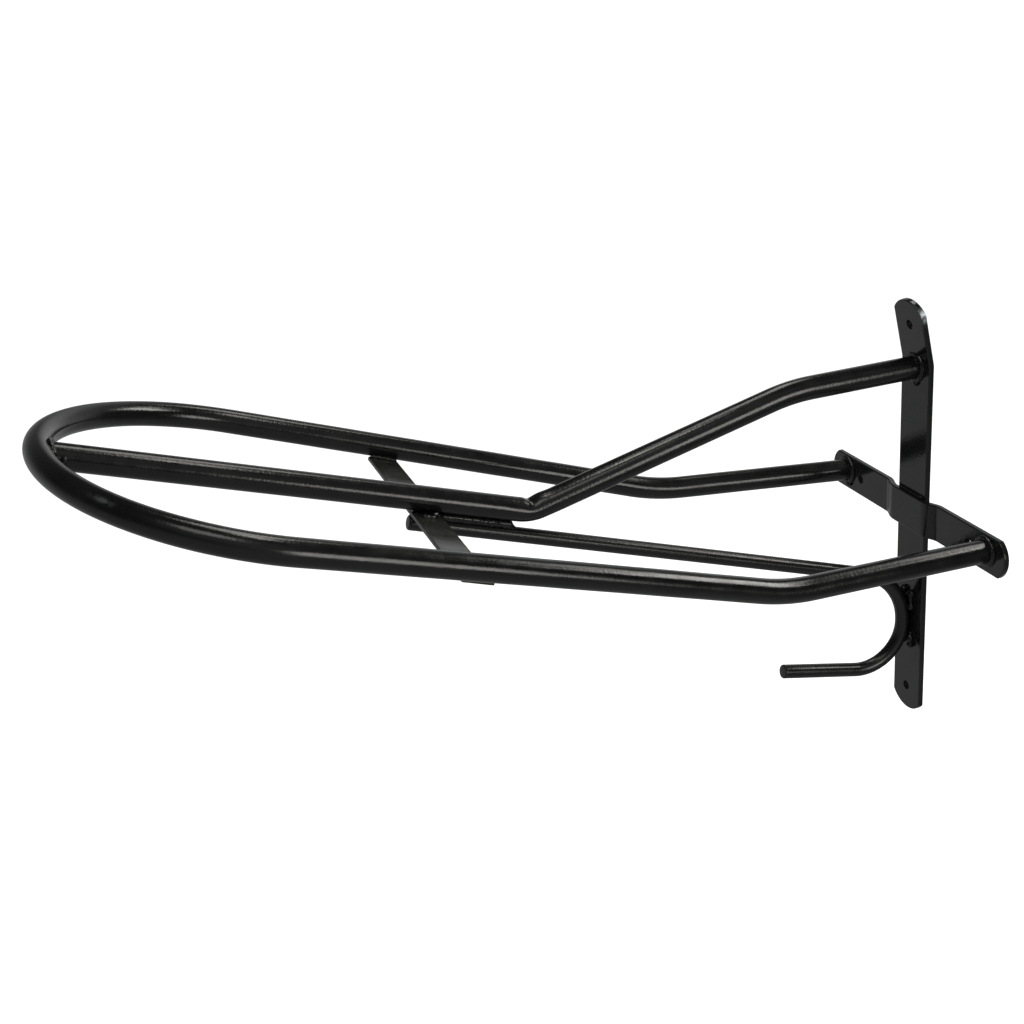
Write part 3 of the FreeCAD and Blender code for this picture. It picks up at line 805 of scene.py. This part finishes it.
def build_nose_weld():
    """A bead round the end of the centre rail, where it is coped to the inside of the loop."""
    end = rail_path[-1]
    inward = unit(rail_path[-30] - end)
    other = unit(np.cross(inward, X_AXIS))
    nose_part = loop_path[np.abs(loop_path[:, 0]) < 30]
    blobs = []
    for angle in np.linspace(0, math.tau, 40, endpoint=False):
        spoke = math.cos(angle) * X_AXIS + math.sin(angle) * other
        place = end + (TUBE_RADIUS + NOSE_BEAD_OUT) * spoke
        # Back along the rail until the drop is clear of the loop's own tube.
        for _ in range(200):
            if distance_to_route(place, nose_part) > TUBE_RADIUS + 0.4:
                break
            place = place + inward * 0.2
        blobs.append((place, NOSE_BEAD_RADIUS * random.uniform(0.85, 1.1)))
    near_side = end + inward * 8.5 + X_AXIS * (TUBE_RADIUS + 0.4) - Z_AXIS * 1.0
    for offset, radius in ((0.0, 2.3), (2.4, 1.9), (-2.2, 2.0)):
        blobs.append((near_side + other * offset + inward * abs(offset) * 0.3, radius))
    build_weld("nose_bead", blobs, "nose_weld")


def groove(contact, along, across, up, length, offset, rise):
    """The two ends of a groove beside the line where a round bar touches a flat one."""
    middle = contact + across * offset + up * rise
    return [middle - along * length / 2, middle + along * length / 2]


LEG_BEAD_RADIUS, ROD_BEAD_RADIUS, NUGGET_RADIUS = 1.7, 1.6, 1.55
# Grooves at the flat bar: length, and how far across and up from the line of contact.
LEG_GROOVE, RAIL_GROOVE, ROD_GROOVE = (15.0, 4.6, 0.7), (13.0, 4.4, 0.6), (14.0, 3.6, 0.6)


def build_bar_welds():
    leg_half = LEG_BEND_HALF + BAR_RUN * math.tan(LEG_TAPER)
    leg_rise = unit(nose_start - leg_bend)
    contact = on_seat(leg_half, BAR_RUN, -TUBE_RADIUS)
    right = groove(contact, leg_rise, -X_AXIS, SEAT_NORMAL, *LEG_GROOVE)
    build_weld("right_bar_bead", bead_along(right, LEG_BEAD_RADIUS), "right_bar_weld")
    left = groove(mirror_x(contact), mirror_x(leg_rise), X_AXIS, SEAT_NORMAL, *LEG_GROOVE)
    build_weld("left_bar_bead", bead_along(left, LEG_BEAD_RADIUS), "left_bar_weld")

    # The centre rail has a bead on its far side, and a low nugget of metal on its near side.
    middle = on_seat(0, BAR_RUN, -TUBE_RADIUS)
    far = groove(middle, SEAT_RISE, -X_AXIS, SEAT_NORMAL, *RAIL_GROOVE)
    blobs = bead_along(far, LEG_BEAD_RADIUS)
    for across in np.arange(5.0, 10.6, 1.5):
        for run in np.arange(-3.6, 3.0, 1.6):
            place = middle + X_AXIS * across + SEAT_RISE * (run + 0.6) + SEAT_NORMAL * 0.35
            blobs.append((place, NUGGET_RADIUS * random.uniform(0.9, 1.1)))
    blobs.append((middle + X_AXIS * 4.8 + SEAT_RISE * -7.6 + SEAT_NORMAL * 0.3, 1.5))
    build_weld("centre_rail_bar_bead", blobs, "centre_rail_bar_weld")

    under = on_seat(0, BAR_RUN, -TUBE_RADIUS - BAR_THICKNESS)
    blobs = []
    for side in (-1, 1):
        line = groove(under, SEAT_RISE, X_AXIS * side, -SEAT_NORMAL, *ROD_GROOVE)
        blobs += bead_along(line, ROD_BEAD_RADIUS)
    build_weld("rod_bar_bead", blobs, "rod_bar_weld")


ROD_RAIL_WELD_START, ROD_RAIL_WELD_END = 299.0, 341.5
ROD_RAIL_HALF_GAP = 2.3  # from the middle to each of the two lowest lines of drops


def build_rod_rail_weld():
    """A long bead that fills the narrow gap between the round bar and the centre rail.

    Four lines of drops lie side by side in it, and two smaller pairs taper its wall end.
    """
    rail_line = unit(rail_path[-1] - RAIL_SAG)
    share = ROD_RADIUS / (ROD_RADIUS + TUBE_RADIUS)
    blobs = []
    for side, lean in ((-1, 0.0), (1, 0.0), (-1, 0.05), (1, 0.05)):
        ends = []
        for reach in (ROD_RAIL_WELD_START, ROD_RAIL_WELD_END):
            low = at_reach(rod_corner, rod_rise, reach)
            high = at_reach(RAIL_SAG, rail_line, reach)
            across = X_AXIS * side * (ROD_RAIL_HALF_GAP + 12 * lean)
            ends.append(low + (high - low) * (share + lean) + across)
        blobs += bead_along(ends, 2.35, 1.2, 0.12, 0.06)
    for reach, rise, radius in ((297.4, 5.6, 1.8), (295.8, 5.2, 1.2)):
        end = at_reach(rod_corner, rod_rise, reach)
        blobs += [(end + Z_AXIS * rise + X_AXIS * side * 2.2, radius) for side in (-1, 1)]
    build_weld("rod_rail_bead", blobs, "rod_rail_weld")


STRAP_BEAD_RADIUS, EDGE_BEAD_RADIUS, EDGE_BEAD_HALF = 1.9, 1.35, 12.0


def build_rod_strap_welds():
    """Short welds on each side of the round bar, where it stands against the strap."""
    for name, low, high, lumps, node in (
        ("rod_upper_bead", -71.0, -60.0, ((-60.5, 3.0), (-71.0, 2.7)), "rod_upper_weld"),
        ("rod_lower_bead", -102.0, -93.0, ((-96.5, 3.0), (-101.5, 2.6)), "rod_lower_weld"),
    ):
        blobs = []
        for side in (-1, 1):
            line = [np.array([side * 3.9, -STRAP_THICKNESS - 0.8, z]) for z in (high, low)]
            blobs += bead_along(line, STRAP_BEAD_RADIUS, 1.4, 0.2)
            for height, radius in lumps:
                blobs.append((np.array([side * 4.7, -STRAP_THICKNESS - 1.3, height]), radius))
        build_weld(name, blobs, node)


def build_strap_welds():
    """Thin beads along the two edges of the cross strap where it passes over the vertical one."""
    for name, side, node in (
        ("cross_upper_bead", 1, "cross_upper_weld"),
        ("cross_lower_bead", -1, "cross_lower_weld"),
    ):
        height = CROSS_HEIGHT + side * (CROSS_WIDTH / 2 + 0.3)
        line = [
            np.array([end * EDGE_BEAD_HALF, -STRAP_THICKNESS - 0.4, height]) for end in (-1, 1)
        ]
        build_weld(name, bead_along(line, EDGE_BEAD_RADIUS, 1.3, 0.15), node)


# The welds draw random numbers, so the order of these calls is part of their shapes.
build_loop()
build_rail()
build_rod()
build_wall_strap()
build_cross_strap()
build_under_bar()
build_ring_welds()
build_nose_weld()
build_bar_welds()
build_rod_rail_weld()
build_rod_strap_welds()
build_strap_welds()

# ------------------------------------------------------------------ floor, light and camera

# From here on lengths are in metres.
FLOOR_HEIGHT = -0.62
FLOOR_HALF = 30.0
FLOOR_COLOUR = (0.95, 0.95, 0.95, 1.0)


def build_floor():
    """A wide pale matt floor, which the gloss paint does not show."""
    material = bpy.data.materials.new("pale_floor")
    material.use_nodes = True
    shader = material.node_tree.nodes["Principled BSDF"]
    shader.inputs["Base Color"].default_value = FLOOR_COLOUR
    shader.inputs["Roughness"].default_value = 0.9
    shader.inputs["Specular IOR Level"].default_value = 0.0
    mesh = bpy.data.meshes.new("floor")
    signs = [(-1, -1), (1, -1), (1, 1), (-1, 1)]
    corners = [(x * FLOOR_HALF, y * FLOOR_HALF, FLOOR_HEIGHT) for x, y in signs]
    mesh.from_pydata(corners, [], [(0, 1, 2, 3)])
    mesh.materials.append(material)
    floor = bpy.data.objects.new("floor", mesh)
    scene.collection.objects.link(floor)
    floor.visible_glossy = False


def direction_of(azimuth, elevation):
    """A direction whose azimuth in degrees is measured from the front, towards +x."""
    a, e = math.radians(azimuth), math.radians(elevation)
    return Vector((math.sin(a) * math.cos(e), -math.cos(a) * math.cos(e), math.sin(e)))


# Broad, dim parts of the studio that only the gloss shows: azimuth, elevation, half angle and
# strength. A negative one is a darker part.
STUDIO_PATCHES = (
    (222, 6, 42, 0.34),
    (243, 8, 26, 0.28),
    (285, -18, 60, 0.09),
    (155, -12, 48, -0.20),
    (90, 42, 42, 0.22),
)
# The rest of it fades upward, from its strength below to its strength above.
STUDIO_BELOW, STUDIO_ABOVE = 0.25, 0.04
STUDIO_LOWEST = 0.01
STUDIO_COLOUR = (0.97, 1.0, 0.98, 1.0)
WHITE_STRENGTH = 1.1


def studio_strength(tree):
    """How bright the studio is in each direction."""
    link = tree.links.new
    around = add_node(tree, "ShaderNodeTexCoord", (-1400, 0)).outputs["Generated"]
    height = add_node(tree, "ShaderNodeSeparateXYZ", (-1200, 200))
    link(around, height.inputs["Vector"])
    level = add_node(
        tree, "ShaderNodeMapRange", (-1000, 200), From_Min=-0.25, From_Max=0.35,
        To_Min=STUDIO_BELOW, To_Max=STUDIO_ABOVE,
    )
    level.interpolation_type = "SMOOTHSTEP"
    link(height.outputs["Z"], level.inputs["Value"])
    total = level.outputs["Result"]
    for number, (azimuth, elevation, spread, strength) in enumerate(STUDIO_PATCHES):
        row = -200 * (number + 1)
        near = add_node(tree, "ShaderNodeVectorMath", (-1200, row))
        near.operation = "DOT_PRODUCT"
        near.inputs[1].default_value = direction_of(azimuth, elevation)
        link(around, near.inputs[0])
        patch = add_node(
            tree, "ShaderNodeMapRange", (-1000, row), From_Min=math.cos(math.radians(spread)),
            From_Max=1.0, To_Min=0.0, To_Max=strength,
        )
        patch.interpolation_type = "SMOOTHSTEP"
        link(near.outputs["Value"], patch.inputs["Value"])
        add = add_node(tree, "ShaderNodeMath", (-800, row))
        link(total, add.inputs[0])
        link(patch.outputs["Result"], add.inputs[1])
        total = add.outputs["Value"]
    lowest = add_node(tree, "ShaderNodeMath", (-600, 0))
    lowest.operation = "MAXIMUM"
    lowest.inputs[1].default_value = STUDIO_LOWEST
    link(total, lowest.inputs[0])
    return lowest.outputs["Value"]


def build_world():
    """White all round for the floor and the camera, and a dim studio for the gloss to show."""
    world = bpy.data.worlds.new("studio")
    world.use_nodes = True
    world.cycles.sampling_method = "NONE"
    scene.world = world
    tree = world.node_tree
    link = tree.links.new
    studio = add_node(tree, "ShaderNodeBackground", (-400, 0), Color=STUDIO_COLOUR)
    link(studio_strength(tree), studio.inputs["Strength"])
    white = tree.nodes["Background"]
    white.inputs["Color"].default_value = (1.0, 1.0, 1.0, 1.0)
    white.inputs["Strength"].default_value = WHITE_STRENGTH
    ray = add_node(tree, "ShaderNodeLightPath", (-400, 300))
    either = add_node(tree, "ShaderNodeMixShader", (-100, 100))
    link(ray.outputs["Is Glossy Ray"], either.inputs["Fac"])
    link(white.outputs["Background"], either.inputs[1])
    link(studio.outputs["Background"], either.inputs[2])
    link(either.outputs["Shader"], tree.nodes["World Output"].inputs["Surface"])


RACK_MIDDLE = Vector((0.0, -0.28, 0.03))
LIGHT_COLOUR = (1.0, 0.98, 0.93)
# Name, azimuth and elevation, distance, width and height as angles in degrees, and radiance.
SOFTBOXES = (
    ("window", (114, 5), 2.2, (21, 22), 4.8),
    ("key", (173, 33), 2.0, (30, 11), 9.0),
    ("key_top", (186, 42), 2.1, (22, 8), 3.0),
    ("camera_side", (76, 57), 2.0, (24, 18), 2.4),
    ("far_top", (231, 62), 2.0, (15, 28), 3.8),
    ("overhead", (180, 89), 0.7, (16, 9), 7.0),
)
OVERHEAD_PLACE = (0.04, -0.18, 0.72)  # above the half of the rack nearer the wall


def add_softbox(name, direction, distance, size, radiance):
    """A soft light that faces the rack and that the camera does not see."""
    away = direction_of(*direction)
    across = direction_of(direction[0] + 90, 0)
    sides = [2 * distance * math.tan(math.radians(angle / 2)) for angle in size]
    data = bpy.data.lights.new(name, "AREA")
    data.shape = "RECTANGLE"
    data.size, data.size_y = sides
    data.energy = radiance * math.pi * sides[0] * sides[1]
    data.color = LIGHT_COLOUR
    light = bpy.data.objects.new(name, data)
    turned = Matrix((across, away.cross(across), away)).transposed().to_4x4()
    light.matrix_world = Matrix.Translation(RACK_MIDDLE + away * distance) @ turned
    light.visible_camera = False
    scene.collection.objects.link(light)
    return light


def build_lights():
    lights = {softbox[0]: add_softbox(*softbox) for softbox in SOFTBOXES}
    lights["overhead"].location = OVERHEAD_PLACE


CAMERA_PLACE = (0.78947, -0.54149, 0.41241)
CAMERA_AZIMUTH, CAMERA_ELEVATION = 73.22, 22.28
CAMERA_ROLL = math.radians(-5.15)
CAMERA_LENS = 50.09
CAMERA_SHIFT = (0.01237, -0.01323)


def build_camera():
    """A camera whose azimuth is measured from the front, looking at the wall."""
    back = direction_of(CAMERA_AZIMUTH, CAMERA_ELEVATION)
    level = direction_of(CAMERA_AZIMUTH + 90, 0)
    right = level * math.cos(CAMERA_ROLL) + back.cross(level) * math.sin(CAMERA_ROLL)
    turned = Matrix((right, back.cross(right), back)).transposed().to_4x4()
    data = bpy.data.cameras.new("camera")
    data.lens = CAMERA_LENS
    data.shift_x, data.shift_y = CAMERA_SHIFT
    camera = bpy.data.objects.new("camera", data)
    camera.matrix_world = Matrix.Translation(CAMERA_PLACE) @ turned
    scene.collection.objects.link(camera)
    scene.camera = camera


build_floor()
build_world()
build_camera()
build_lights()
scene.view_settings.view_transform = "Standard"
